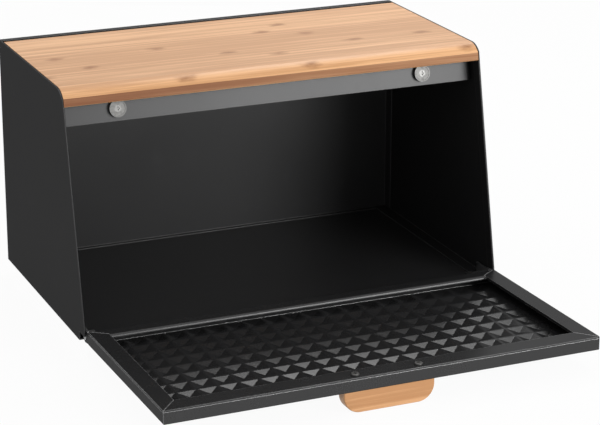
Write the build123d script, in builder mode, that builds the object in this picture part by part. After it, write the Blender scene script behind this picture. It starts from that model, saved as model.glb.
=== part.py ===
"""Bread box with a drop-front door: folded sheet-steel body, bamboo top board and bamboo pull.

Millimetres, +Z up, the front faces -Y. The origin is the middle of the flat base the box stands on.
The door is modelled open, lying almost level in front of the box.
"""
from build123d import *
from math import atan2, cos, degrees, hypot, radians, sin, sqrt
import os

# ---------------------------------------------------------------- driving dimensions
# body
body_width = 390.0
body_height = 211.0
base_depth = 230.0
top_depth = 185.0            # where the sloping front would meet the top
body_sheet = 0.9
body_bend_radius = 1.5       # outside of the folds
side_hem_width = 10.0        # front edge of the side panels, folded back on itself
side_hem_round = 0.7
seam_flange = 12.0           # flanges that lap onto the next panel
back_foot = 5.0              # flange of the back panel on the floor
back_top_flange = 6.0
flange_clearance = 0.5

# cutouts at the lower front corners, where the door's ears turn
cutout_depth = 15.0
cutout_height = 7.8

# stop lip along the floor's front edge
lip_height = 7.5
lip_end_gap = 0.8            # to the hinge pins

# top board
board_thickness = 14.0
board_side_gap = 0.6
board_rear_gap = 5.0
nose_drop = 7.0              # the rounded nose ends in a crease this far below the top
nose_run = 14.5
board_edge_round = 1.0

# lintel under the board's front edge
lintel_drop = 20.5           # how far its face hangs below the board
lintel_shelf = 24.0          # flange that carries the board
lintel_return = 8.0
lintel_end_radius = 5.0

# rail that carries the board at the back
rail_height = 15.0
rail_shelf = 25.0
rail_end_gap = 2.0

# screws that hold the board
board_screw_radius = 1.75
board_screw_head_radius = 3.5
board_screw_head_height = 2.0
board_screw_bite = 10.0
board_screw_inset = 45.0

# door
door_thickness = 12.0
door_sheet = 0.8
door_side_gap = 0.9          # to the hems of the side panels
door_top_gap = 2.6           # to the board while the door swings
door_lift = 1.3              # degrees above level when it lies open
door_bend_radius = 1.0
seam_drop = 1.7              # seam between frame and skin, below the door's inner face
frame_side_flange = 15.0
frame_front_flange = 17.0
frame_rear_flange = 10.9
frame_lip = 2.5
frame_tongue = 3.0           # laps inside the skin's walls
frame_edge_round = 0.5
frame_rear_round = 1.5       # edge that passes the stop lip
frame_rear_bend = 3.0        # rolled edge that ends the rear flange, in place of a lip
mitre_groove = 0.4
stud_pitch = 18.0            # pressed pattern of the outer skin
stud_size = 16.0
stud_tip = 0.6
stud_height = 2.0
stud_columns = 20
stud_rows = 9
stud_shift = 9.0             # pattern's middle, from the door's middle towards the hinge

# handle on the door's outer face
handle_width = 80.0
handle_reach = 18.3
handle_thickness = 11.5
handle_corner_radius = 14.5
handle_edge_round = 1.2
handle_setback = 0.4         # behind the door's free edge
handle_screw_spacing = 56.0
handle_screw_radius = 2.0
handle_screw_head_radius = 3.6
handle_screw_head_height = 1.8
handle_screw_bite = 11.0

# hinges
pivot_height = 6.0
pivot_to_skin = 5.5          # from the hinge axis to the door's outer face
stop_gap = 0.4               # door to the stop lip
pin_radius = 2.0
pin_head_radius = 3.2
pin_head_height = 0.6
running_clearance = 0.05     # radial
bracket_sheet = 1.5
bracket_leg = 13.0
bracket_back = 20.0          # behind the hinge axis
bracket_nose_radius = 5.0
bracket_ear_gap = 0.4
rivet_radius = 1.5
rivet_head_radius = 2.8
rivet_head_height = 0.8
rivet_spacing = 10.0

# magnet catches
magnet_radius = 7.5
magnet_height = 3.5
magnet_wall = 1.0
magnet_base = 1.0
magnet_recess = 0.3          # of the magnet in its cup
magnet_spacing = 286.0
magnet_below_board = 9.8     # centres below the board's underside
magnet_gap = 0.3             # to the closed door
magnet_screw_radius = 1.5
magnet_screw_head_radius = 3.0
magnet_nut_width = 5.5
magnet_nut_height = 2.4
magnet_screw_end = 1.0       # past the nut

# cross recesses of the screws
cross_length = 3.4
cross_width = 0.9
cross_depth = 1.0

fit_clearance = 0.05         # radial, shanks in their holes
face_clearance = 0.3         # beside turning parts

# ---------------------------------------------------------------- places worked out from them
half_width = body_width / 2
inner_half_width = half_width - body_sheet
hem_half_width = inner_half_width - body_sheet
front_y = -base_depth / 2
back_y = base_depth / 2
back_inner_y = back_y - body_sheet
flange_top = 2 * body_sheet

slope = atan2(base_depth - top_depth, body_height)
slope_up = Vector(0, sin(slope), cos(slope))
front_plane = Plane(origin=(0, front_y, 0), x_dir=(1, 0, 0), z_dir=(0, -cos(slope), sin(slope)))

board_bottom = body_height - board_thickness
board_half_width = inner_half_width - board_side_gap
board_back_y = back_y - back_top_flange - board_rear_gap
cutout_back_y = front_y + cutout_depth

pivot_y = front_y + (pivot_height * sin(slope) + pivot_to_skin) / cos(slope)
lift = radians(door_lift)
door_up = Vector(0, sin(lift), cos(lift))
door_back = Vector(0, cos(lift), -sin(lift))
door_plane = Plane(origin=(0, pivot_y, pivot_height), x_dir=(1, 0, 0), z_dir=door_up)
door_half_width = hem_half_width - door_side_gap
wall_half_width = door_half_width - door_sheet
door_outer = -pivot_to_skin
door_inner = door_outer + door_thickness
door_rear = pivot_y - front_y + stop_gap
nose_distance = hypot(front_y + board_bottom * sin(slope) / cos(slope) - pivot_y, board_bottom - pivot_height)
door_reach = sqrt((nose_distance - door_top_gap) ** 2 - pivot_to_skin ** 2)
stud_middle = stud_shift - (door_rear + door_reach) / 2

bracket_half_width = wall_half_width - bracket_ear_gap
bracket_inner = bracket_half_width - bracket_sheet
pin_tail_inner = bracket_inner - face_clearance - pin_head_height

magnet_face = door_thickness + magnet_gap
lintel_face = magnet_face + magnet_height
magnet_z = board_bottom - magnet_below_board


def slope_y(height, behind=0.0):
    """Y of the plane that lies this far behind the sloping front, at a height."""
    return front_y + (height * sin(slope) + behind) / cos(slope)


def slope_distance(height, behind):
    """Distance up the front plane to a point at a height and this far behind it."""
    return (height + behind * sin(slope)) / cos(slope)


def side_plane(x):
    """Upright plane across X whose sketch axes are Y and Z."""
    return Plane(origin=(x, 0, 0), x_dir=(0, 1, 0), z_dir=(1, 0, 0))


def door_side_plane(x):
    """Plane across X with the hinge axis at its origin and the door's own directions as axes."""
    return Plane(origin=(x, pivot_y, pivot_height), x_dir=door_back, z_dir=(1, 0, 0))


def rectangle_between(x0, x1, y0, y1, mode=Mode.ADD):
    """Rectangle given by its edges, in the current sketch."""
    with Locations(((x0 + x1) / 2, (y0 + y1) / 2)):
        Rectangle(abs(x1 - x0), abs(y1 - y0), mode=mode)


def box_between(x0, x1, y0, y1, z0, z1, mode=Mode.ADD):
    """Box given by its faces, in the current part."""
    with Locations(((x0 + x1) / 2, (y0 + y1) / 2, (z0 + z1) / 2)):
        Box(abs(x1 - x0), abs(y1 - y0), abs(z1 - z0), mode=mode)


def edges_along(edges, direction):
    """Those straight edges that run along a direction."""
    return edges.filter_by(GeomType.LINE).filter_by(lambda e: abs(e.tangent_at(0.5).dot(direction)) > 0.9999)


def cross_recess(plane, points, depth):
    """Cross sunk into each screw head of the current part."""
    with BuildSketch(plane) as crosses:
        with Locations(*points):
            Rectangle(cross_length, cross_width)
            Rectangle(cross_width, cross_length)
    extrude(crosses.sketch, amount=depth, mode=Mode.SUBTRACT)


def save(piece, name):
    """Label a finished piece and write it out."""
    piece.part.label = name
    export_step(piece.part, f"parts/{name}.step")


os.makedirs("parts", exist_ok=True)

# ---------------------------------------------------------------- floor and back
with BuildPart() as floor_panel:
    with BuildSketch(side_plane(-inner_half_width)):
        with BuildLine():
            FilletPolyline(
                (back_inner_y, 0),
                (front_y, 0),
                (front_y, lip_height),
                radius=body_bend_radius,
            )
            offset(amount=body_sheet, side=Side.RIGHT)
        make_face()
    extrude(amount=2 * inner_half_width)
    for side in (-1, 1):
        box_between(side * (pin_tail_inner - lip_end_gap), side * half_width,
                    front_y, front_y + body_bend_radius, body_sheet, body_height, mode=Mode.SUBTRACT)
        box_between(side * bracket_half_width, side * half_width,
                    front_y, cutout_back_y, 0, body_height, mode=Mode.SUBTRACT)
        with BuildSketch():
            with Locations((side * (bracket_half_width - bracket_leg / 2), pivot_y + bracket_back / 2)):
                with GridLocations(1, rivet_spacing, 1, 2):
                    Circle(rivet_radius + fit_clearance)
        extrude(amount=body_sheet, mode=Mode.SUBTRACT)
save(floor_panel, "floor_panel")

with BuildPart() as back_panel:
    bottom_flange_x = inner_half_width - seam_flange - flange_clearance
    box_between(-inner_half_width, inner_half_width, back_inner_y, back_y, 0, body_height)
    box_between(-inner_half_width, inner_half_width, back_y - back_top_flange, back_inner_y,
                body_height - body_sheet, body_height)
    box_between(-bottom_flange_x, bottom_flange_x, back_inner_y - back_foot, back_inner_y,
                body_sheet, flange_top)
    for side in (-1, 1):
        box_between(side * hem_half_width, side * inner_half_width, back_inner_y - seam_flange, back_inner_y,
                    flange_top + flange_clearance, board_bottom)
save(back_panel, "back_panel")


# ---------------------------------------------------------------- side panels
def make_side_panel(side):
    """Side panel: sheet with a folded front hem and a flange on the floor; side is -1 left, 1 right."""
    crease = (slope_y(body_height - nose_drop), body_height - nose_drop)
    hem_head = board_bottom - flange_clearance
    with BuildPart() as panel:
        with BuildSketch(side_plane(side * half_width)):
            with BuildLine():
                Polyline(
                    (crease[0] + nose_run, body_height),
                    (back_y, body_height),
                    (back_y, 0),
                    (cutout_back_y, 0),
                    (cutout_back_y, cutout_height),
                    (slope_y(cutout_height), cutout_height),
                    crease,
                )
                TangentArc((crease[0] + nose_run, body_height), crease, tangent=(-1, 0))
            make_face()
        extrude(amount=-side * body_sheet)
        with BuildSketch(side_plane(side * inner_half_width)):
            with BuildLine():
                Polyline(
                    (slope_y(cutout_height), cutout_height),
                    (slope_y(hem_head), hem_head),
                    (slope_y(hem_head, side_hem_width), hem_head),
                    (slope_y(cutout_height, side_hem_width), cutout_height),
                    close=True,
                )
            make_face()
        extrude(amount=-side * body_sheet)
        front_edges = edges_along(panel.edges(), slope_up)
        front_edges = front_edges.filter_by(lambda e: abs(e.center().Y - slope_y(e.center().Z)) < 1e-3)
        fillet([front_edges.sort_by(Axis.X)[0], front_edges.sort_by(Axis.X)[-1]], side_hem_round)
        box_between(side * (inner_half_width - seam_flange), side * inner_half_width,
                    pivot_y + bracket_back + flange_clearance, back_inner_y, body_sheet, flange_top)
    return panel


save(make_side_panel(-1), "left_side_panel")
save(make_side_panel(1), "right_side_panel")

# ---------------------------------------------------------------- lintel and rail that carry the board
shelf_screw_y = slope_y(board_bottom, lintel_face) + lintel_shelf / 2
rail_screw_y = (board_back_y + back_inner_y - rail_shelf) / 2
board_screw_x = inner_half_width - board_screw_inset
magnet_points = [(side * magnet_spacing / 2, slope_distance(magnet_z, lintel_face)) for side in (-1, 1)]

with BuildPart() as lintel:
    lintel_foot = board_bottom - lintel_drop
    lintel_back_y = slope_y(board_bottom, lintel_face) + lintel_shelf
    with BuildSketch(side_plane(-inner_half_width)):
        with BuildLine():
            Polyline(
                (slope_y(lintel_foot, lintel_face), lintel_foot),
                (slope_y(board_bottom, lintel_face), board_bottom),
                (lintel_back_y, board_bottom),
                (lintel_back_y, lintel_foot),
                close=True,
            )
        make_face()
    extrude(amount=2 * inner_half_width)
    fillet(edges_along(lintel.edges(), slope_up), lintel_end_radius)
    offset(amount=-body_sheet, openings=lintel.faces().filter_by(Axis.Y).sort_by(Axis.Y)[-1])
    box_between(-half_width, half_width, slope_y(lintel_foot, lintel_face) + lintel_return, back_y,
                lintel_foot, board_bottom - body_sheet, mode=Mode.SUBTRACT)
    with BuildSketch(front_plane.offset(-lintel_face)):
        with Locations(*magnet_points):
            Circle(magnet_screw_radius + fit_clearance)
    extrude(amount=-body_sheet, mode=Mode.SUBTRACT)
    with BuildSketch(Plane.XY.offset(board_bottom)):
        with Locations((-board_screw_x, shelf_screw_y), (board_screw_x, shelf_screw_y)):
            Circle(board_screw_radius + fit_clearance)
    extrude(amount=-body_sheet, mode=Mode.SUBTRACT)
save(lintel, "lintel")

with BuildPart() as rear_rail:
    rail_half_width = inner_half_width - rail_end_gap
    with BuildSketch(side_plane(-rail_half_width)):
        with BuildLine():
            FilletPolyline(
                (back_inner_y, board_bottom - rail_height),
                (back_inner_y, board_bottom),
                (back_inner_y - rail_shelf, board_bottom),
                radius=body_bend_radius,
            )
            offset(amount=body_sheet, side=Side.LEFT)
        make_face()
    extrude(amount=2 * rail_half_width)
    with BuildSketch(Plane.XY.offset(board_bottom)):
        with Locations((-board_screw_x, rail_screw_y), (board_screw_x, rail_screw_y)):
            Circle(board_screw_radius + fit_clearance)
    extrude(amount=-body_sheet, mode=Mode.SUBTRACT)
save(rear_rail, "rear_rail")

# ---------------------------------------------------------------- top board and its screws
board_screw_points = [(x, y) for x in (-board_screw_x, board_screw_x) for y in (shelf_screw_y, rail_screw_y)]

with BuildPart() as top_board:
    nose_crease = (slope_y(body_height - nose_drop), body_height - nose_drop)
    with BuildSketch(side_plane(-board_half_width)):
        with BuildLine():
            Polyline(
                (nose_crease[0] + nose_run, body_height),
                (board_back_y, body_height),
                (board_back_y, board_bottom),
                (slope_y(board_bottom), board_bottom),
                nose_crease,
            )
            TangentArc((nose_crease[0] + nose_run, body_height), nose_crease, tangent=(-1, 0))
        make_face()
    extrude(amount=2 * board_half_width)
    fillet(top_board.edges().filter_by(Axis.X).group_by(Axis.Z)[0].sort_by(Axis.Y)[0], board_edge_round)
    with BuildSketch(Plane.XY.offset(board_bottom)):
        with Locations(*board_screw_points):
            Circle(board_screw_radius + fit_clearance)
    extrude(amount=board_screw_bite + fit_clearance, mode=Mode.SUBTRACT)
save(top_board, "top_board")

with BuildPart() as board_screws:
    with BuildSketch(Plane.XY.offset(board_bottom - body_sheet)):
        with Locations(*board_screw_points):
            Circle(board_screw_head_radius)
    extrude(amount=-board_screw_head_height)
    fillet(board_screws.edges().group_by(Axis.Z)[0], board_screw_head_height / 2)
    with BuildSketch(Plane.XY.offset(board_bottom - body_sheet)):
        with Locations(*board_screw_points):
            Circle(board_screw_radius)
    extrude(amount=body_sheet + board_screw_bite)
    cross_recess(Plane.XY.offset(board_bottom - body_sheet - board_screw_head_height), board_screw_points, cross_depth)
save(board_screws, "board_screws")


# ---------------------------------------------------------------- magnet catches
def make_magnet_cup(point):
    """Steel cup that shows its rim round the magnet."""
    with BuildPart() as cup:
        with BuildSketch(front_plane.offset(-lintel_face)):
            with Locations(point):
                Circle(magnet_radius)
        extrude(amount=magnet_height)
        with BuildSketch(front_plane.offset(-magnet_face)):
            with Locations(point):
                Circle(magnet_radius - magnet_wall)
        extrude(amount=magnet_base - magnet_height, mode=Mode.SUBTRACT)
        with BuildSketch(front_plane.offset(-lintel_face)):
            with Locations(point):
                Circle(magnet_screw_radius + fit_clearance)
        extrude(amount=magnet_base, mode=Mode.SUBTRACT)
    return cup


def make_magnet_ring(point):
    """Ring magnet in the cup, countersunk for its screw."""
    with BuildPart() as ring:
        with BuildSketch(front_plane.offset(magnet_base - lintel_face)):
            with Locations(point):
                Circle(magnet_radius - magnet_wall - fit_clearance)
        extrude(amount=magnet_height - magnet_base - magnet_recess)
        with Locations(front_plane.offset(-magnet_face - magnet_recess)):
            with Locations(point):
                CounterSinkHole(
                    magnet_screw_radius + fit_clearance,
                    magnet_screw_head_radius + fit_clearance,
                    depth=magnet_height,
                    counter_sink_angle=90,
                )
    return ring


save(make_magnet_cup(magnet_points[0]), "left_magnet_cup")
save(make_magnet_cup(magnet_points[1]), "right_magnet_cup")
save(make_magnet_ring(magnet_points[0]), "left_magnet_ring")
save(make_magnet_ring(magnet_points[1]), "right_magnet_ring")

nut_face = lintel_face + body_sheet

with BuildPart() as magnet_screws:
    magnet_screw_face = magnet_face + magnet_recess
    with BuildSketch(front_plane.offset(-magnet_screw_face)):
        with Locations(*magnet_points):
            Circle(magnet_screw_head_radius)
    extrude(amount=magnet_screw_radius - magnet_screw_head_radius, taper=45)
    with BuildSketch(front_plane.offset(-magnet_screw_face)):
        with Locations(*magnet_points):
            Circle(magnet_screw_radius)
    extrude(amount=magnet_screw_face - nut_face - magnet_nut_height - magnet_screw_end)
    cross_recess(front_plane.offset(-magnet_screw_face), magnet_points, -cross_depth)
save(magnet_screws, "magnet_screws")

with BuildPart() as magnet_nuts:
    with BuildSketch(front_plane.offset(-nut_face)):
        with Locations(*magnet_points):
            RegularPolygon(magnet_nut_width / 2, 6, major_radius=False)
            Circle(magnet_screw_radius + fit_clearance, mode=Mode.SUBTRACT)
    extrude(amount=-magnet_nut_height)
save(magnet_nuts, "magnet_nuts")


# ---------------------------------------------------------------- hinges
def make_hinge_bracket(side):
    """Angle bracket on the floor whose upright carries the hinge pin."""
    back_end = pivot_y + bracket_back
    with BuildPart() as bracket:
        with BuildSketch(side_plane(side * bracket_half_width)):
            with Locations((pivot_y, pivot_height)):
                Circle(bracket_nose_radius)
            rectangle_between(pivot_y, back_end, body_sheet, pivot_height + bracket_nose_radius)
            rectangle_between(front_y, back_end, -body_height, body_sheet, mode=Mode.SUBTRACT)
            with Locations((pivot_y, pivot_height)):
                Circle(pin_radius + running_clearance, mode=Mode.SUBTRACT)
        extrude(amount=-side * bracket_sheet)
        box_between(side * (bracket_half_width - bracket_leg), side * bracket_half_width,
                    pivot_y, back_end, body_sheet, body_sheet + bracket_sheet)
        with BuildSketch(Plane.XY.offset(body_sheet)):
            with Locations((side * (bracket_half_width - bracket_leg / 2), pivot_y + bracket_back / 2)):
                with GridLocations(1, rivet_spacing, 1, 2):
                    Circle(rivet_radius + fit_clearance)
        extrude(amount=bracket_sheet, mode=Mode.SUBTRACT)
    return bracket


def make_hinge_pin(side):
    """Shouldered rivet through the door's ear and the bracket, headed at both ends."""
    with BuildPart() as pin:
        with BuildSketch(side_plane(side * door_half_width)):
            with Locations((pivot_y, pivot_height)):
                Circle(pin_head_radius)
        extrude(amount=side * pin_head_height)
        with BuildSketch(side_plane(side * door_half_width)):
            with Locations((pivot_y, pivot_height)):
                Circle(pin_radius)
        extrude(amount=-side * (door_half_width - pin_tail_inner))
        with BuildSketch(side_plane(side * pin_tail_inner)):
            with Locations((pivot_y, pivot_height)):
                Circle(pin_head_radius)
        extrude(amount=side * pin_head_height)
    return pin


save(make_hinge_bracket(-1), "left_hinge_bracket")
save(make_hinge_bracket(1), "right_hinge_bracket")
save(make_hinge_pin(-1), "left_hinge_pin")
save(make_hinge_pin(1), "right_hinge_pin")

with BuildPart() as bracket_rivets:
    rivet_x = bracket_half_width - bracket_leg / 2
    with BuildSketch(Plane.XY.offset(body_sheet + bracket_sheet)):
        with Locations((0, pivot_y + bracket_back / 2)):
            with GridLocations(2 * rivet_x, rivet_spacing, 2, 2):
                Circle(rivet_head_radius)
    extrude(amount=rivet_head_height)
    fillet(bracket_rivets.edges().group_by(Axis.Z)[-1], rivet_head_height / 2)
    with BuildSketch():
        with Locations((0, pivot_y + bracket_back / 2)):
            with GridLocations(2 * rivet_x, rivet_spacing, 2, 2):
                Circle(rivet_radius)
    extrude(amount=body_sheet + bracket_sheet)
save(bracket_rivets, "bracket_rivets")

# ---------------------------------------------------------------- door
seam_level = door_inner - seam_drop
handle_screw_y = -door_reach + handle_setback + handle_thickness / 2
handle_screw_points = [(side * handle_screw_spacing / 2, handle_screw_y) for side in (-1, 1)]

with BuildPart() as stud:
    with BuildSketch():
        Rectangle(stud_size, stud_size)
    with BuildSketch(Plane.XY.offset(-stud_height)):
        Rectangle(stud_tip, stud_tip)
    loft()

with BuildPart() as door_skin:
    with BuildSketch(door_plane.offset(door_outer)):
        rectangle_between(-door_half_width, door_half_width, -door_reach, -door_rear)
    extrude(amount=seam_level - door_outer)
    fillet(door_skin.faces().sort_by(Axis.Z)[0].edges(), door_bend_radius)
    with BuildSketch(door_plane.offset(door_outer + door_sheet)):
        rectangle_between(-wall_half_width, wall_half_width, door_sheet - door_reach, -door_rear - door_sheet)
    extrude(amount=door_thickness, mode=Mode.SUBTRACT)
    for side in (-1, 1):
        with BuildSketch(door_side_plane(side * door_half_width)):
            with BuildLine():
                Polyline(
                    (-door_rear - door_bend_radius, door_outer + door_bend_radius),
                    (-door_rear - door_bend_radius, seam_level),
                    (-door_rear, seam_level),
                    (0, pivot_to_skin),
                    (0, -pivot_to_skin),
                    (-door_rear, door_outer + door_bend_radius),
                    close=True,
                )
            make_face()
            Circle(pivot_to_skin)
            Circle(pin_radius + fit_clearance, mode=Mode.SUBTRACT)
        extrude(amount=-side * door_sheet)
    with BuildSketch(door_plane.offset(door_outer)):
        with Locations(*handle_screw_points):
            Circle(handle_screw_radius + fit_clearance)
    extrude(amount=door_sheet, mode=Mode.SUBTRACT)
    with Locations(door_plane.offset(door_outer)):
        with Locations((0, stud_middle)):
            with GridLocations(stud_pitch, stud_pitch, stud_columns, stud_rows):
                add(stud.part)
    with Locations(door_plane.offset(door_outer + door_sheet)):
        with Locations((0, stud_middle)):
            with GridLocations(stud_pitch, stud_pitch, stud_columns, stud_rows):
                add(stud.part, mode=Mode.SUBTRACT)
save(door_skin, "door_skin")

with BuildPart() as door_frame:
    window_x = door_half_width - frame_side_flange
    window_front = frame_front_flange - door_reach
    window_rear = -door_rear - frame_rear_flange
    with BuildSketch(door_plane.offset(seam_level)):
        rectangle_between(-door_half_width, door_half_width, -door_reach, -door_rear)
    extrude(amount=seam_drop)
    with BuildSketch(door_plane.offset(seam_level)):
        rectangle_between(-wall_half_width, wall_half_width, door_sheet - door_reach, -door_rear - door_sheet)
    extrude(amount=seam_drop - door_sheet, mode=Mode.SUBTRACT)
    with BuildSketch(door_plane.offset(seam_level - frame_tongue)):
        rectangle_between(-wall_half_width, wall_half_width, door_sheet - door_reach, -door_rear - door_sheet)
        rectangle_between(-wall_half_width + door_sheet, wall_half_width - door_sheet,
                          2 * door_sheet - door_reach, -door_rear - 2 * door_sheet, mode=Mode.SUBTRACT)
    extrude(amount=frame_tongue + seam_drop - door_sheet)
    with BuildSketch(door_plane.offset(door_inner - frame_lip)):
        rectangle_between(-window_x - door_sheet, window_x + door_sheet,
                          window_front - door_sheet, window_rear)
    extrude(amount=frame_lip)
    with BuildSketch(door_plane.offset(door_outer)):
        rectangle_between(-window_x, window_x, window_front, window_rear)
    extrude(amount=door_thickness, mode=Mode.SUBTRACT)
    with BuildSketch(door_side_plane(-window_x - door_sheet)):
        with BuildLine():
            bend_centre = (window_rear, door_inner - frame_rear_bend)
            bend_top = CenterArc(bend_centre, frame_rear_bend, 90, 90)
            bend_under = CenterArc(bend_centre, frame_rear_bend - door_sheet, 90, 90)
            Line(bend_top @ 0, bend_under @ 0)
            Line(bend_top @ 1, bend_under @ 1)
        make_face()
    extrude(amount=2 * (window_x + door_sheet))
    top_face = door_frame.faces().filter_by(lambda f: f.normal_at().dot(door_up) > 0.9999).sort_by(Axis.Z)[-1]
    outer_edges = top_face.outer_wire().edges().sort_by(Axis.Y)
    fillet(outer_edges[-1], frame_rear_round)
    fillet(outer_edges[:-1], frame_edge_round)
    with BuildSketch(door_plane.offset(door_inner)):
        for side in (-1, 1):
            for outer_end, inner_end in ((-door_reach, window_front), (-door_rear, window_rear)):
                run = hypot(frame_side_flange, inner_end - outer_end) + 2 * mitre_groove
                turn = degrees(atan2(inner_end - outer_end, -side * frame_side_flange))
                with Locations((side * (door_half_width + window_x) / 2, (outer_end + inner_end) / 2)):
                    Rectangle(run, mitre_groove, rotation=turn)
    extrude(amount=-mitre_groove, mode=Mode.SUBTRACT)
    with BuildSketch(door_plane.offset(door_inner)):
        with Locations(*handle_screw_points):
            Circle(handle_screw_radius + fit_clearance)
    extrude(amount=-door_sheet, mode=Mode.SUBTRACT)
save(door_frame, "door_frame")

# ---------------------------------------------------------------- handle
handle_plane = Plane(
    origin=door_plane.from_local_coords((0, handle_setback - door_reach, door_outer)),
    x_dir=(1, 0, 0),
    z_dir=-door_back,
)

with BuildPart() as door_handle:
    with BuildSketch(handle_plane) as handle_outline:
        rectangle_between(-handle_width / 2, handle_width / 2, -handle_reach, 0)
        fillet(handle_outline.vertices().group_by(Axis.Y)[0], handle_corner_radius)
    extrude(amount=-handle_thickness)
    grip_faces = door_handle.faces().filter_by(lambda f: abs(f.normal_at().dot(door_back)) > 0.9999)
    seat_edges = edges_along(grip_faces.edges(), Vector(1, 0, 0)).sort_by(Axis.Z)[-2:]
    fillet([e for e in grip_faces.edges() if e not in seat_edges], handle_edge_round)
    with BuildSketch(door_plane.offset(door_outer)):
        with Locations(*handle_screw_points):
            Circle(handle_screw_radius + fit_clearance)
    extrude(amount=-handle_screw_bite - fit_clearance, mode=Mode.SUBTRACT)
save(door_handle, "door_handle")

with BuildPart() as handle_screws:
    with BuildSketch(door_plane.offset(door_inner)):
        with Locations(*handle_screw_points):
            Circle(handle_screw_head_radius)
    extrude(amount=handle_screw_head_height)
    fillet(handle_screws.edges().filter_by(GeomType.CIRCLE).sort_by(Axis.Z)[-2:], handle_screw_head_height / 2)
    with BuildSketch(door_plane.offset(door_inner)):
        with Locations(*handle_screw_points):
            Circle(handle_screw_radius)
    extrude(amount=-door_thickness - handle_screw_bite)
    cross_recess(door_plane.offset(door_inner + handle_screw_head_height), handle_screw_points, -cross_depth)
save(handle_screws, "handle_screws")
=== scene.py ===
"""Looks of a bread box with a drop-front door: black powder coat, bamboo and plated fittings."""

from math import cos, radians, sin

import bmesh
import bpy
from bpy.props import FloatProperty, FloatVectorProperty, PointerProperty
from mathutils import Matrix, Vector


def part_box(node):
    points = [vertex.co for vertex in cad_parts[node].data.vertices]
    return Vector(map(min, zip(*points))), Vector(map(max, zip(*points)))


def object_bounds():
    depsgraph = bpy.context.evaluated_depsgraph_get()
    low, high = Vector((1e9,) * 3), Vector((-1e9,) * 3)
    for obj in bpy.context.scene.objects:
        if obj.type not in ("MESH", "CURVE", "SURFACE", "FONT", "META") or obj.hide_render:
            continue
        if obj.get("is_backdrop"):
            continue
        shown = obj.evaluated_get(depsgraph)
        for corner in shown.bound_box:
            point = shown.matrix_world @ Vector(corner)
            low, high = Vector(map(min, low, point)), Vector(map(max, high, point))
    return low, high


bl_info = {
    "name": "Bread Box Finishes",
    "version": (1, 0, 0),
    "blender": (4, 5, 0),
    "location": "3D View > Sidebar > Bread Box",
    "description": "Finishes, stage and camera for a bread box with a drop-front door",
    "category": "Object",
}

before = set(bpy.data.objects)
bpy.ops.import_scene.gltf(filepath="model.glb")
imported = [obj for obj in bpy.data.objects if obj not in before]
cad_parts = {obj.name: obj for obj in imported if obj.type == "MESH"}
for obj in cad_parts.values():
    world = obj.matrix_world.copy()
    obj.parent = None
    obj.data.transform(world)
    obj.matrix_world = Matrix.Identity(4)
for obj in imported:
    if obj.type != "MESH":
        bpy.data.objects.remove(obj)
cad_low, cad_high = (Vector(corner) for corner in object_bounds())

MILLIMETRE = 0.001
PHOTO_WIDTH = 600                # pixels
PHOTO_HEIGHT = 425
SENSOR_WIDTH = 36.0              # millimetres
VIEW_DEPTH = 50.0                # metres that the camera sees
WHITE = (1.0, 1.0, 1.0, 1.0)
NOISE_MEAN = 0.5

INNER_SHEETS = ("floor_panel", "back_panel", "rear_rail")
LINTEL_SHEETS = ("lintel",)
SIDE_SHEETS = ("left_side_panel", "right_side_panel")
DOOR_SHEETS = ("door_skin", "door_frame")
BOARD = ("top_board",)
PULL = ("door_handle",)
MAGNET_CUPS = ("left_magnet_cup", "right_magnet_cup")
MAGNET_RINGS = ("left_magnet_ring", "right_magnet_ring")
MAGNET_FASTENERS = ("magnet_screws", "magnet_nuts")
HINGE_PARTS = ("left_hinge_bracket", "right_hinge_bracket", "bracket_rivets",
               "left_hinge_pin", "right_hinge_pin")
BOARD_SCREWS = ("board_screws",)
PULL_SCREWS = ("handle_screws",)

# Brushed grain of the fittings, in waves per metre along X, Y and Z.
CUP_GRAIN = (900.0, 900.0, 900.0)
RING_GRAIN = (500.0, 500.0, 500.0)
CATCH_FASTENER_GRAIN = (900.0, 300.0, 300.0)
HINGE_GRAIN = (400.0, 60.0, 400.0)
SCREW_GRAIN = (700.0, 700.0, 200.0)

# Each softbox: its name, its place and the side of its square in metres, and the setting for its power.
SOFTBOXES = (
    ("front_softbox", (1.00, -1.85, 0.70), 1.00, "key_power"),
    ("top_softbox", (-0.25, 0.10, 1.80), 1.20, "top_power"),
    ("rear_softbox", (0.55, 0.65, 1.15), 0.45, "rear_power"),
)
SOFTBOX_TARGET = (0.0, -0.05, 0.08)


# ---------------------------------------------------------------- settings a user would change
def color_property(name, description, default):
    """Colour shown in the panel, in linear light."""
    return FloatVectorProperty(name=name, description=description, default=default, size=3,
                               min=0.0, max=1.0, subtype="COLOR")


def length_property(name, description, default):
    """Length shown in the panel, in the scene's unit."""
    return FloatProperty(name=name, description=description, default=default, min=0.0, precision=5,
                         subtype="DISTANCE", unit="LENGTH")


def share_property(name, description, default):
    """Number from 0 to 1 shown as a slider."""
    return FloatProperty(name=name, description=description, default=default, min=0.0, max=1.0,
                         subtype="FACTOR")


def power_property(name, description, default):
    """Power of a lamp in watts."""
    return FloatProperty(name=name, description=description, default=default, min=0.0, unit="POWER")


def angle_property(name, description, default):
    """Angle, given in degrees and kept in radians."""
    return FloatProperty(name=name, description=description, default=radians(default), unit="ROTATION")


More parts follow.
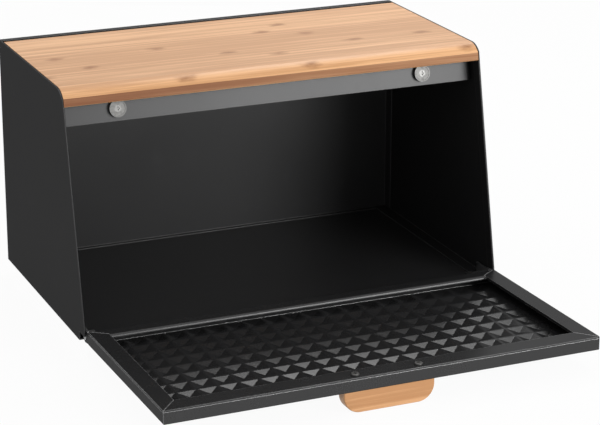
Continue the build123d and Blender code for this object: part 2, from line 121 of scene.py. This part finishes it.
class CoatSettings(bpy.types.PropertyGroup):
    """Black powder coat on the sheet steel."""
    color: color_property("Coat colour", "Colour of the powder coat", (0.0150, 0.0150, 0.0155))
    # Painted highlight: the edge colour is a light grey laid along the edges of the sheets, standing in
    # for light caught there.
    edge_color: color_property(
        "Edge colour", "Colour where the coat is thin along an edge", (0.340, 0.340, 0.345))
    roughness: share_property("Coat roughness", "Roughness of the satin coat on the box", 0.34)
    gloss: share_property("Coat gloss", "Share of the light that the inner sheets reflect", 0.060)
    lintel_gloss: share_property("Lintel gloss", "Share of the light that the lintel reflects", 0.044)
    side_gloss: share_property("Side gloss", "Share of the light that the side panels reflect", 0.027)
    door_gloss: share_property("Door gloss", "Share of the light that the door reflects", 0.048)
    door_roughness: share_property("Door roughness", "Roughness of the coat on the door", 0.27)
    # The shares below set how much of that painted highlight, in colour and in gloss, each group gets
    # along its edges.
    body_edge_highlight: share_property(
        "Box edge wear", "How far the coat thins along the edges of the inner sheets and the lintel", 0.18)
    side_edge_highlight: share_property(
        "Side edge wear", "How far the coat thins along the edges of the side panels", 0.30)
    door_edge_highlight: share_property(
        "Door edge wear", "How far the coat thins along the edges of the door", 0.90)
    edge_gloss: share_property("Edge gloss", "Gloss that full wear adds along an edge", 0.24)
    peel_size: length_property(
        "Peel size", "Width of the ripples in the powder coat", 0.9 * MILLIMETRE)
    peel_height: length_property(
        "Peel height", "Height of the ripples in the powder coat", 0.010 * MILLIMETRE)
    # This width also sets the band that gets the painted highlight.
    edge_round: length_property(
        "Edge rounding", "Width of the edge that catches the light", 0.45 * MILLIMETRE)


class BambooSettings(bpy.types.PropertyGroup):
    """Oiled bamboo of the board and the pull."""
    light_color: color_property("Light bamboo", "Colour between the fibres", (0.800, 0.455, 0.228))
    dark_color: color_property("Fibre colour", "Colour of the fibre bundles", (0.560, 0.285, 0.125))
    node_color: color_property("Node colour", "Colour of the joints of the cane", (0.300, 0.120, 0.036))
    # The edge colour is partly the cut edges' own brown and partly painted shade on the front and the
    # ends.
    edge_color: color_property("Edge colour", "Colour of the cut edges", (0.200, 0.070, 0.026))
    strip_width: length_property(
        "Strip width", "Width of one glued strip of the board", 19.0 * MILLIMETRE)
    node_spacing: length_property(
        "Node spacing", "Distance between the joints of a cane", 118.0 * MILLIMETRE)
    node_length: length_property("Node half length", "Half length of a joint's mark", 12.0 * MILLIMETRE)
    node_width: length_property("Node half width", "Half width of a joint's mark", 6.4 * MILLIMETRE)
    roughness: share_property("Bamboo roughness", "Roughness of the oiled surface", 0.42)


class MetalSettings(bpy.types.PropertyGroup):
    """Plated fittings."""
    nickel_color: color_property(
        "Nickel colour", "Colour of the magnet cups; their magnets and screws are lighter",
        (0.105, 0.104, 0.101))
    zinc_color: color_property(
        "Zinc colour", "Colour of the hinge parts and of the board's screws", (0.300, 0.303, 0.307))
    dark_color: color_property(
        "Dark screw colour", "Colour of the blackened screws of the pull", (0.080, 0.079, 0.077))
    roughness: share_property("Plating roughness", "Roughness of the plated metal", 0.38)


class StageSettings(bpy.types.PropertyGroup):
    """Floor, lamps and camera."""
    floor_color: color_property(
        "Floor colour", "Colour of the floor and of the plinth", (0.800, 0.800, 0.800))
    key_power: power_property("Key power", "Power of the front softbox", 26.0)
    top_power: power_property("Top power", "Power of the overhead softbox", 5.0)
    rear_power: power_property("Rear power", "Power of the softbox behind the box", 4.5)
    sky_strength: share_property("Sky strength", "Even light from all sides", 0.55)
    shown_white: share_property(
        "Shown white", "How far the floor reads as white from the camera", 0.950)
    camera_azimuth: angle_property("Camera azimuth", "Camera's turn about the upright axis", -22.63)
    camera_elevation: angle_property("Camera elevation", "Camera's height as an angle", 18.52)
    camera_roll: angle_property("Camera roll", "Camera's turn about its line of sight", -0.10)
    camera_place: FloatVectorProperty(
        name="Camera place", description="Where the camera stands", size=3,
        default=(-0.70070, -1.72532, 0.69882), subtype="TRANSLATION", unit="LENGTH")
    camera_lens: FloatProperty(name="Lens", description="Focal length in millimetres", default=129.7,
                               min=1.0, subtype="DISTANCE_CAMERA")
    centre_pixel: FloatVectorProperty(
        name="Optical centre", description="Pixel that the camera looks at", size=2,
        default=(266.74, 192.81))


class BreadBoxSettings(bpy.types.PropertyGroup):
    """All settings of the bread box."""
    coat: PointerProperty(type=CoatSettings)
    bamboo: PointerProperty(type=BambooSettings)
    metal: PointerProperty(type=MetalSettings)
    stage: PointerProperty(type=StageSettings)


# ---------------------------------------------------------------- shader expressions
class Value:
    """A shader socket that adds Math nodes where it is used in an expression."""

    def __init__(self, finish, socket):
        self.finish = finish
        self.socket = socket

    def math(self, operation, *terms):
        return self.finish.node("ShaderNodeMath", {"operation": operation}, dict(enumerate(terms)))

    def __add__(self, other):
        return self.math("ADD", self, other)

    def __radd__(self, other):
        return self.math("ADD", other, self)

    def __sub__(self, other):
        return self.math("SUBTRACT", self, other)

    def __rsub__(self, other):
        return self.math("SUBTRACT", other, self)

    def __mul__(self, other):
        return self.math("MULTIPLY", self, other)

    def __rmul__(self, other):
        return self.math("MULTIPLY", other, self)

    def __truediv__(self, other):
        return self.math("DIVIDE", self, other)

    def __rtruediv__(self, other):
        return self.math("DIVIDE", other, self)

    def __gt__(self, other):
        return self.math("GREATER_THAN", self, other)

    def __abs__(self):
        return self.math("ABSOLUTE", self)

    def floor(self):
        return self.math("FLOOR", self)

    def root(self):
        return self.math("SQRT", self)

    def larger(self, other):
        return self.math("MAXIMUM", self, other)


class Finish:
    """The nodes of one material, or of a node tree that is handed in."""

    def __init__(self, name, tree=None):
        if tree is None:
            self.material = bpy.data.materials.new(name)
            self.material.use_nodes = True
            tree = self.material.node_tree
        self.tree = tree
        self.tree.nodes.clear()

    def node(self, kind, settings=None, inputs=None, output=0):
        """Add a node, its settings first and then its sockets, and return one of its outputs, if any."""
        made = self.tree.nodes.new(kind)
        for name, setting in (settings or {}).items():
            setattr(made, name, setting)
        for key, value in (inputs or {}).items():
            if isinstance(value, Value):
                self.tree.links.new(value.socket, made.inputs[key])
            else:
                made.inputs[key].default_value = value
        return Value(self, made.outputs[output]) if len(made.outputs) else None

    def place(self):
        """Where a point of the surface lies on its piece, in metres."""
        return self.node("ShaderNodeTexCoord", output="Object")

    def facing(self):
        """Which way the surface faces, in the piece's own directions."""
        return self.node("ShaderNodeTexCoord", output="Normal")

    def seen(self):
        """1 for what the camera sees, also in a mirror or through glass, and 0 for light on a surface."""
        camera_rays = self.node("ShaderNodeLightPath", output="Is Camera Ray")
        path = camera_rays.socket.node.outputs
        glossy_rays = Value(self, path["Is Glossy Ray"])
        return camera_rays.larger(glossy_rays).larger(Value(self, path["Is Transmission Ray"]))

    def split(self, vector):
        """The three parts of a vector."""
        parts = self.node("ShaderNodeSeparateXYZ", inputs={0: vector})
        return [Value(self, parts.socket.node.outputs[axis]) for axis in range(3)]

    def join(self, x, y, z):
        """A vector from three numbers."""
        return self.node("ShaderNodeCombineXYZ", inputs={0: x, 1: y, 2: z})

    def noise(self, vector, scale, detail=2.0, roughness=0.5):
        """Soft noise from 0 to 1; on a place in metres, scale is in waves per metre."""
        return self.node("ShaderNodeTexNoise", inputs={
            "Vector": vector, "Scale": scale, "Detail": detail, "Roughness": roughness})

    def grain(self, place, waves, detail=2.0, roughness=0.5):
        """Soft noise from 0 to 1 with its own waves per metre along X, Y and Z."""
        stretched = self.node("ShaderNodeVectorMath", {"operation": "MULTIPLY"}, {0: place, 1: waves})
        return self.noise(stretched, 1.0, detail, roughness)

    def chance(self, x, y):
        """A steady random number for each whole pair x, y."""
        pair = self.join(x, y, 0.0)
        return self.node("ShaderNodeTexWhiteNoise", {"noise_dimensions": "2D"}, {"Vector": pair})

    def ramp(self, value, start, end, low=0.0, high=1.0):
        """Smooth step from low at start to high at end."""
        return self.node("ShaderNodeMapRange", {"interpolation_type": "SMOOTHSTEP"}, {
            "Value": value, "From Min": start, "From Max": end, "To Min": low, "To Max": high})

    def mix(self, factor, first, second):
        """Two colours mixed."""
        return self.node("ShaderNodeMix", {"data_type": "RGBA"}, {0: factor, 6: first, 7: second},
                         output=2)

    def bump(self, height, distance, strength, normal=None):
        """Surface normal bent by a height."""
        inputs = {"Height": height, "Distance": distance, "Strength": strength}
        if normal is not None:
            inputs["Normal"] = normal
        return self.node("ShaderNodeBump", inputs=inputs)

    def dot(self, first, second):
        """Cosine between two directions."""
        return self.node("ShaderNodeVectorMath", {"operation": "DOT_PRODUCT"}, {0: first, 1: second},
                         output="Value")

    def principled(self, inputs):
        """Principled shader."""
        return self.node("ShaderNodeBsdfPrincipled", inputs=inputs)

    def output(self, shader):
        """Put a shader on the material's output."""
        self.node("ShaderNodeOutputMaterial", inputs={"Surface": shader})
        return self.material

    def surface(self, inputs):
        """Principled surface on the material's output."""
        return self.output(self.principled(inputs))


def opaque(color):
    """Colour with full alpha."""
    return (color[0], color[1], color[2], 1.0)


def scaled(color, factor):
    """Colour made lighter or darker, each part kept within 1."""
    return tuple(min(1.0, factor * part) for part in color)


def dress(names, material):
    """Give CAD nodes their material."""
    for name in names:
        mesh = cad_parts[name].data
        mesh.materials.clear()
        mesh.materials.append(material)


# ---------------------------------------------------------------- finishes
def powder_coat(name, coat, gloss, painted_highlight, roughness):
    """Satin black powder coat: fine orange peel, cloudy gloss, and a painted highlight along every edge,
    lighter in colour and glossier.
    """
    dust_gain = 1.6              # how much lighter dust is than the coat
    dust_lift = 0.004
    dust_share = 0.35
    cloud_roughness = 0.08       # roughness that clouds, dust and ripples add
    dust_roughness = 0.05
    peel_roughness = 0.03
    usual_roughness = 0.05       # about what they add on average, taken off the setting
    peel_strength = 0.5
    sheen_color = (0.9, 0.9, 0.9, 1.0)
    finish = Finish(name)
    place = finish.place()
    clouds = finish.noise(place, scale=9.0, detail=3.0)
    peel = finish.noise(place, scale=1.0 / coat.peel_size)
    specks = finish.noise(place, scale=55.0, detail=6.0, roughness=0.7)
    dust = finish.ramp(specks, start=0.55, end=0.80)
    dusty_color = tuple(dust_gain * part + dust_lift for part in coat.color)
    color = finish.mix(dust * dust_share, opaque(coat.color), opaque(dusty_color))
    # The rounded normal against the flat one finds the edges, where the painted highlight goes.
    rounded = finish.node("ShaderNodeBevel", {"samples": 6}, {"Radius": coat.edge_round})
    flat = finish.node("ShaderNodeNewGeometry", output="Normal")
    edge = finish.ramp(finish.dot(rounded, flat), start=0.995, end=0.90)
    # Painted highlight: the light edge colour is laid along every edge, as far as the group's share says.
    color = finish.mix(edge * painted_highlight, color, opaque(coat.edge_color))
    rough = (clouds * cloud_roughness + dust * dust_roughness + peel * peel_roughness
             + (roughness - usual_roughness))
    normal = finish.bump(peel, coat.peel_height, peel_strength, rounded)
    matt = finish.principled({
        "Base Color": color, "Roughness": rough, "Specular IOR Level": 0.0, "Normal": normal})
    sheen = finish.principled({
        "Base Color": sheen_color, "Metallic": 1.0, "Roughness": rough, "Normal": normal})
    # The painted highlight along the edges also adds gloss there.
    shine = edge * (coat.edge_gloss * painted_highlight) + gloss
    return finish.output(finish.node("ShaderNodeMixShader", inputs={0: shine, 1: matt, 2: sheen}))


def bamboo(name, wood, strip_width, brown_and_shade=1.0, node_share=0.42):
    """Bamboo strips along X with fine fibres, marks where the cane had its joints, and browner edges,
    partly their own colour and partly painted shade.

    The argument after strip_width sets how far the front and the ends take the edge colour, partly their
    own colour and partly painted shade. node_share is the share of the canes, the
    stretches of a strip between two joints, that show a mark.
    """
    strip_lean = 0.45            # sideways shift of the strips over their height
    strip_middle = 0.5
    tone_seed = 3.0
    mark_seed = 11.0
    place_seed = 5.0
    run_shift = 7.3              # canes by which a strip's tone shifts its joints
    node_play = 0.5              # part of a cane that its mark may lie in
    node_wander = 1.5            # how far noise breaks up the rim of a mark
    mark_strength = 0.85
    seam_strength = 0.10
    fibre_tone = 0.45            # how much each layer darkens the wood
    streak_tone = 0.80
    band_tone = 0.25
    strip_tone = 0.22
    # How much edge colour, partly real brown and partly painted shade, the front and the ends take.
    brown_base = 0.72
    brown_streaks = 0.40
    fibre_roughness = 0.16       # roughness that each layer adds
    mark_roughness = 0.06
    front_roughness = 0.25
    usual_roughness = 0.08       # about what the fibres add on average, taken off the setting
    fibre_height = 0.7
    streak_height = 0.3
    seam_height = 0.4
    relief = 0.05 * MILLIMETRE
    relief_strength = 0.5
    finish = Finish(name)
    place = finish.place()
    along, depth, height = finish.split(place)
    across_ends, across_front = finish.split(finish.facing())[:2]
    front = finish.ramp(abs(across_front), start=0.90, end=0.97)
    ends = finish.ramp(abs(across_ends), start=0.70, end=0.95)
    across = depth + height * strip_lean
    strip = (across / strip_width).floor()
    in_strip = across / strip_width - strip
    tone = finish.chance(strip, tone_seed)
    run = along / wood.node_spacing + tone * run_shift
    cane = run.floor()
    has_node = 1.0 - (finish.chance(cane, strip + mark_seed) > node_share)
    offset = finish.chance(cane + place_seed, strip) * node_play + (1.0 - node_play) / 2
    wander = finish.grain(place, (90.0, 190.0, 190.0), detail=3.0) - NOISE_MEAN
    node_x = (run - cane - offset) * (wood.node_spacing / wood.node_length)
    node_y = (in_strip - strip_middle) * (strip_width / wood.node_width)
    reach = (node_x * node_x + node_y * node_y).root() + wander * node_wander
    mark = finish.ramp(reach, start=-0.1, end=1.10, low=1.0, high=0.0) * has_node
    fibres = finish.grain(place, (14.0, 900.0, 900.0), detail=4.0, roughness=0.65)
    streaks = finish.grain(place, (5.0, 250.0, 250.0), detail=3.0, roughness=0.6)
    bands = finish.grain(place, (1.6, 60.0, 60.0))
    seam = 1.0 - finish.ramp(in_strip * (1.0 - in_strip), start=0.0, end=0.020)
    layers = fibres * fibre_tone + streaks * streak_tone + bands * band_tone + tone * strip_tone
    dark = finish.ramp(layers, start=0.68, end=0.98)
    color = finish.mix(dark, opaque(wood.light_color), opaque(wood.dark_color))
    color = finish.mix(mark * mark_strength + seam * seam_strength, color, opaque(wood.node_color))
    # Painted shade: the front and the ends are made darker towards the left end, standing in for less
    # light falling there.
    painted_left_shade = finish.ramp(along, start=-0.20, end=0.12, low=1.0, high=0.72) * brown_and_shade
    # The front and the ends take the edge colour: partly the cut edges' own brown, partly painted shade.
    brown = front.larger(ends) * (brown_base + streaks * brown_streaks) * painted_left_shade
    color = finish.mix(brown, color, opaque(wood.edge_color))
    rough = (fibres * fibre_roughness + mark * mark_roughness + front * front_roughness
             + (wood.roughness - usual_roughness))
    surface_height = fibres * fibre_height + streaks * streak_height - seam * seam_height
    return finish.surface({
        "Base Color": color,
        "Roughness": rough,
        "Specular IOR Level": 0.38,
        "Normal": finish.bump(surface_height, relief, relief_strength),
    })


def plated(name, color, roughness, brush):
    """Plated metal with small stains and a faint brushed grain, brush being its waves per metre."""
    stain_gain = 0.80
    stain_share = 0.5
    brush_roughness = 0.14       # roughness that the grain and the stains add
    stain_roughness = 0.08
    usual_roughness = 0.08       # about what they add on average, taken off the setting
    relief = 0.01 * MILLIMETRE
    relief_strength = 0.4
    finish = Finish(name)
    place = finish.place()
    brushed = finish.grain(place, brush, detail=3.0, roughness=0.6)
    stains = finish.ramp(finish.noise(place, scale=420.0, detail=4.0), start=0.42, end=0.72)
    stained_color = scaled(color, stain_gain)
    return finish.surface({
        "Base Color": finish.mix(stains * stain_share, opaque(color), opaque(stained_color)),
        "Metallic": 1.0,
        "Roughness": brushed * brush_roughness + stains * stain_roughness + (roughness - usual_roughness),
        "Normal": finish.bump(brushed, relief, relief_strength),
    })


def floor_finish(name, color, shown_white):
    """Pale floor that reads as white from the camera and keeps the object's shadow."""
    cloud_share = 0.1
    cloud_color = (0.74, 0.74, 0.74, 1.0)
    finish = Finish(name)
    seen = finish.seen()
    clouds = finish.noise(finish.place(), scale=30.0, detail=3.0)
    floor_color = finish.mix(clouds * cloud_share, opaque(color), cloud_color)
    matt = finish.node("ShaderNodeBsdfDiffuse", inputs={"Color": floor_color})
    white = finish.node("ShaderNodeEmission", inputs={"Color": WHITE, "Strength": 1.0})
    return finish.output(finish.node("ShaderNodeMixShader", inputs={
        0: seen * shown_white, 1: matt, 2: white}))


# ---------------------------------------------------------------- stage pieces
def slab(name, low, high, round_edge):
    """Block made as a mesh, its upright edges rounded where round_edge is above 0."""
    mesh = bpy.data.meshes.new(name)
    shape = bmesh.new()
    bmesh.ops.create_cube(shape, size=1.0)
    for vertex in shape.verts:
        vertex.co = Vector(low[k] + (vertex.co[k] + 0.5) * (high[k] - low[k]) for k in range(3))
    half_height = (high[2] - low[2]) / 2
    upright = [edge for edge in shape.edges
               if abs(edge.verts[0].co.z - edge.verts[1].co.z) > half_height]
    if round_edge:
        bmesh.ops.bevel(shape, geom=upright, offset=round_edge, segments=4, affect="EDGES")
    shape.to_mesh(mesh)
    shape.free()
    piece = bpy.data.objects.new(name, mesh)
    bpy.context.collection.objects.link(piece)
    return piece


def softbox(name, place, target, size, power):
    """Square soft lamp that points at a target."""
    lamp = bpy.data.lights.new(name, "AREA")
    lamp.size = size
    lamp.energy = power
    piece = bpy.data.objects.new(name, lamp)
    piece.location = place
    piece.rotation_euler = (Vector(target) - Vector(place)).to_track_quat("-Z", "Y").to_euler()
    bpy.context.collection.objects.link(piece)


def photo_camera(stage):
    """Camera at the photograph's place and angle."""
    azimuth, elevation, roll = stage.camera_azimuth, stage.camera_elevation, stage.camera_roll
    back = Vector((sin(azimuth) * cos(elevation), -cos(azimuth) * cos(elevation), sin(elevation)))
    right = Vector((cos(azimuth), sin(azimuth), 0.0))
    up = back.cross(right)
    rolled_right = right * cos(roll) + up * sin(roll)
    rolled_up = up * cos(roll) - right * sin(roll)
    axes = Matrix((rolled_right, rolled_up, back)).transposed()
    lens = bpy.data.cameras.new("photo_camera")
    lens.sensor_width = SENSOR_WIDTH
    lens.lens = stage.camera_lens
    lens.shift_x = (PHOTO_WIDTH / 2 - stage.centre_pixel[0]) / PHOTO_WIDTH
    lens.shift_y = (stage.centre_pixel[1] - PHOTO_HEIGHT / 2) / PHOTO_WIDTH
    lens.clip_end = VIEW_DEPTH
    camera = bpy.data.objects.new("photo_camera", lens)
    camera.matrix_world = Matrix.Translation(stage.camera_place) @ axes.to_4x4()
    bpy.context.collection.objects.link(camera)
    return camera


def white_world(strength):
    """Even sky that lights with strength and shows as white."""
    world = bpy.data.worlds.new("studio")
    world.use_nodes = True
    sky = Finish("studio", world.node_tree)
    light = sky.node("ShaderNodeBackground", inputs={
        "Color": WHITE, "Strength": sky.seen() * (1.0 - strength) + strength})
    sky.node("ShaderNodeOutputWorld", inputs={"Surface": light})
    return world


# ---------------------------------------------------------------- operators
class BREADBOX_OT_body(bpy.types.Operator):
    """Coat the sheets of the box"""
    bl_idname = "breadbox.body"
    bl_label = "Box Sheets"

    def execute(self, context):
        coat = context.scene.bread_box.coat
        # Each group of sheets gets its own share of painted highlight along its edges.
        inner = powder_coat("box_coat", coat, coat.gloss, coat.body_edge_highlight, coat.roughness)
        lintel = powder_coat("lintel_coat", coat, coat.lintel_gloss, coat.body_edge_highlight, coat.roughness)
        side = powder_coat("side_coat", coat, coat.side_gloss, coat.side_edge_highlight, coat.roughness)
        dress(INNER_SHEETS, inner)
        dress(LINTEL_SHEETS, lintel)
        dress(SIDE_SHEETS, side)
        return {"FINISHED"}


class BREADBOX_OT_door(bpy.types.Operator):
    """Coat the door's skin and frame"""
    bl_idname = "breadbox.door"
    bl_label = "Door"

    def execute(self, context):
        coat = context.scene.bread_box.coat
        # The door gets the strongest painted highlight along its edges.
        door = powder_coat("door_coat", coat, coat.door_gloss, coat.door_edge_highlight, coat.door_roughness)
        dress(DOOR_SHEETS, door)
        return {"FINISHED"}


class BREADBOX_OT_board(bpy.types.Operator):
    """Bamboo of the top board"""
    bl_idname = "breadbox.board"
    bl_label = "Top Board"

    def execute(self, context):
        wood = context.scene.bread_box.bamboo
        dress(BOARD, bamboo("board_bamboo", wood, wood.strip_width))
        return {"FINISHED"}


class BREADBOX_OT_pull(bpy.types.Operator):
    """Bamboo of the pull under the door"""
    bl_idname = "breadbox.pull"
    bl_label = "Pull"

    def execute(self, context):
        wood = context.scene.bread_box.bamboo
        narrow_strip = wood.strip_width / 3
        # The pull gets little of the edge colour, with its painted shade, on its front and ends.
        dress(PULL, bamboo("pull_bamboo", wood, narrow_strip, brown_and_shade=0.14, node_share=0.15))
        return {"FINISHED"}


class BREADBOX_OT_magnets(bpy.types.Operator):
    """Plating of the magnet catches"""
    bl_idname = "breadbox.magnets"
    bl_label = "Magnet Catches"

    def execute(self, context):
        metal = context.scene.bread_box.metal
        ring_gain = 1.35
        fastener_gain = 1.4
        ring_dulling = 0.08
        fastener_polish = 0.06
        ring_color = scaled(metal.nickel_color, ring_gain)
        fastener_color = scaled(metal.nickel_color, fastener_gain)
        cup = plated("cup_nickel", metal.nickel_color, metal.roughness, CUP_GRAIN)
        ring = plated("magnet_nickel", ring_color, metal.roughness + ring_dulling, RING_GRAIN)
        fastener = plated("catch_fastener_nickel", fastener_color, metal.roughness - fastener_polish,
                          CATCH_FASTENER_GRAIN)
        dress(MAGNET_CUPS, cup)
        dress(MAGNET_RINGS, ring)
        dress(MAGNET_FASTENERS, fastener)
        return {"FINISHED"}


class BREADBOX_OT_hinges(bpy.types.Operator):
    """Plating of the hinge brackets, rivets and pins"""
    bl_idname = "breadbox.hinges"
    bl_label = "Hinges"

    def execute(self, context):
        metal = context.scene.bread_box.metal
        dress(HINGE_PARTS, plated("hinge_zinc", metal.zinc_color, metal.roughness, HINGE_GRAIN))
        return {"FINISHED"}


class BREADBOX_OT_screws(bpy.types.Operator):
    """Plating of the screws in the board and the pull"""
    bl_idname = "breadbox.screws"
    bl_label = "Screws"

    def execute(self, context):
        metal = context.scene.bread_box.metal
        black_dulling = 0.06
        zinc = plated("screw_zinc", metal.zinc_color, metal.roughness, SCREW_GRAIN)
        black = plated("screw_black", metal.dark_color, metal.roughness + black_dulling, SCREW_GRAIN)
        dress(BOARD_SCREWS, zinc)
        dress(PULL_SCREWS, black)
        return {"FINISHED"}


class BREADBOX_OT_stage(bpy.types.Operator):
    """Pale floor, plinth, softboxes, sky and the photograph's camera"""
    bl_idname = "breadbox.stage"
    bl_label = "Stage"

    def execute(self, context):
        stage = context.scene.bread_box.stage
        floor_reach = 4.0
        floor_thickness = 0.02
        plinth_inset = 3.0 * MILLIMETRE
        plinth_round = 4.0 * MILLIMETRE
        floor_top = cad_low.z
        base_low, base_high = (Vector(corner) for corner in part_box("floor_panel"))
        pale = floor_finish("pale_floor", stage.floor_color, stage.shown_white)
        floor = slab("floor", (-floor_reach, -floor_reach, floor_top - floor_thickness),
                     (floor_reach, floor_reach, floor_top), 0.0)
        plinth = slab("plinth", (base_low.x + plinth_inset, base_low.y + plinth_inset, floor_top),
                      (base_high.x - plinth_inset, base_high.y - plinth_inset, base_low.z), plinth_round)
        for piece in (floor, plinth):
            piece.data.materials.append(pale)
            piece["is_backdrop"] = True
        for name, place, side, power_setting in SOFTBOXES:
            softbox(name, place, SOFTBOX_TARGET, side, getattr(stage, power_setting))
        context.scene.world = white_world(stage.sky_strength)
        context.scene.camera = photo_camera(stage)
        context.scene.view_settings.view_transform = "Standard"
        return {"FINISHED"}


class BREADBOX_PT_panel(bpy.types.Panel):
    """Settings of the bread box and the steps that use them"""
    bl_idname = "BREADBOX_PT_panel"
    bl_label = "Bread Box"
    bl_space_type = "VIEW_3D"
    bl_region_type = "UI"
    bl_category = "Bread Box"

    def draw(self, context):
        for group in BreadBoxSettings.__annotations__:
            settings = getattr(context.scene.bread_box, group)
            box = self.layout.box()
            box.label(text=group.capitalize())
            for name in settings.__annotations__:
                box.prop(settings, name)
        for operator in OPERATORS:
            self.layout.operator(operator.bl_idname)


SETTINGS = (CoatSettings, BambooSettings, MetalSettings, StageSettings, BreadBoxSettings)
OPERATORS = (BREADBOX_OT_body, BREADBOX_OT_door, BREADBOX_OT_board, BREADBOX_OT_pull,
             BREADBOX_OT_magnets, BREADBOX_OT_hinges, BREADBOX_OT_screws, BREADBOX_OT_stage)


def register():
    """Make the settings, the operators and the panel known to Blender."""
    for cls in (*SETTINGS, *OPERATORS, BREADBOX_PT_panel):
        bpy.utils.register_class(cls)
    bpy.types.Scene.bread_box = PointerProperty(type=BreadBoxSettings)


def unregister():
    """Take them out again."""
    del bpy.types.Scene.bread_box
    for cls in reversed((*SETTINGS, *OPERATORS, BREADBOX_PT_panel)):
        bpy.utils.unregister_class(cls)


def main():
    """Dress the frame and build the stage."""
    register()
    bpy.ops.breadbox.body()
    bpy.ops.breadbox.door()
    bpy.ops.breadbox.board()
    bpy.ops.breadbox.pull()
    bpy.ops.breadbox.magnets()
    bpy.ops.breadbox.hinges()
    bpy.ops.breadbox.screws()
    bpy.ops.breadbox.stage()


if __name__ == "__main__":
    main()
